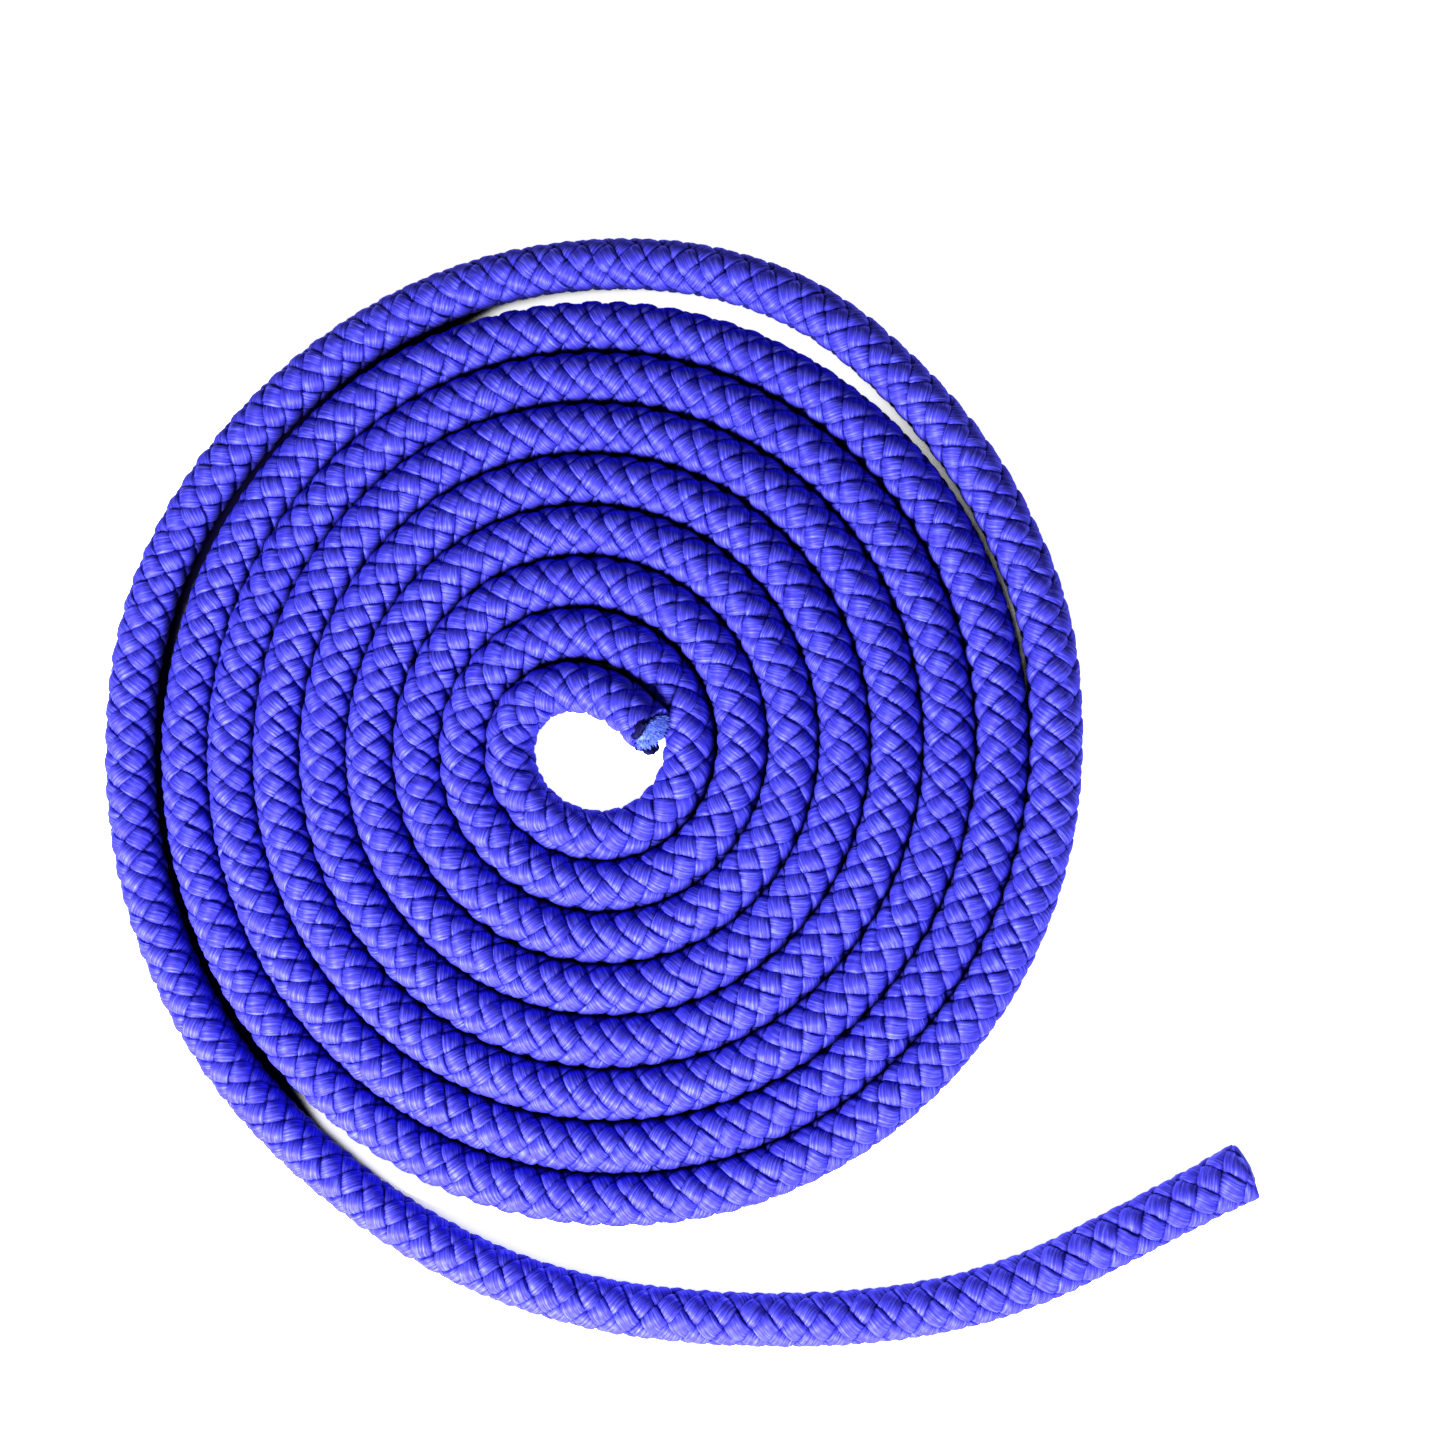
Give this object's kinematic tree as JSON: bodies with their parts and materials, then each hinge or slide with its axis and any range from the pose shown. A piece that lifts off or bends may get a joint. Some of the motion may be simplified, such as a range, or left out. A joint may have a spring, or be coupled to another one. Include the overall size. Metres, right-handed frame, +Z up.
{
  "type": "braided rope",
  "caption": "Soft braided cord rope wound by hand into a flat single-layer spiral, with its outer end laid out as a free tail and both ends cut and melted.",
  "frame": {"origin": "on the surface that the rope lies on, under the middle of the whole rope's box", "axes": "+Z up out of the flat coil, +X along the longest extent, from the coil towards the free tail's end"},
  "size_m": [0.2312, 0.2162, 0.0106],
  "materials": {
    "sheath": "glossy multifilament braid",
    "core": "loose pale filaments",
    "melt": "strand ends melted to a dark bead"
  },
  "bodies": {
    "root": {"sheath_coil": "sheath", "sheath_tail": "sheath", "core_coil": "core", "core_tail": "core", "core_tuft": "core", "outer_end_seal": "sheath", "inner_end_beads": "melt"}
  },
  "joints": []
}
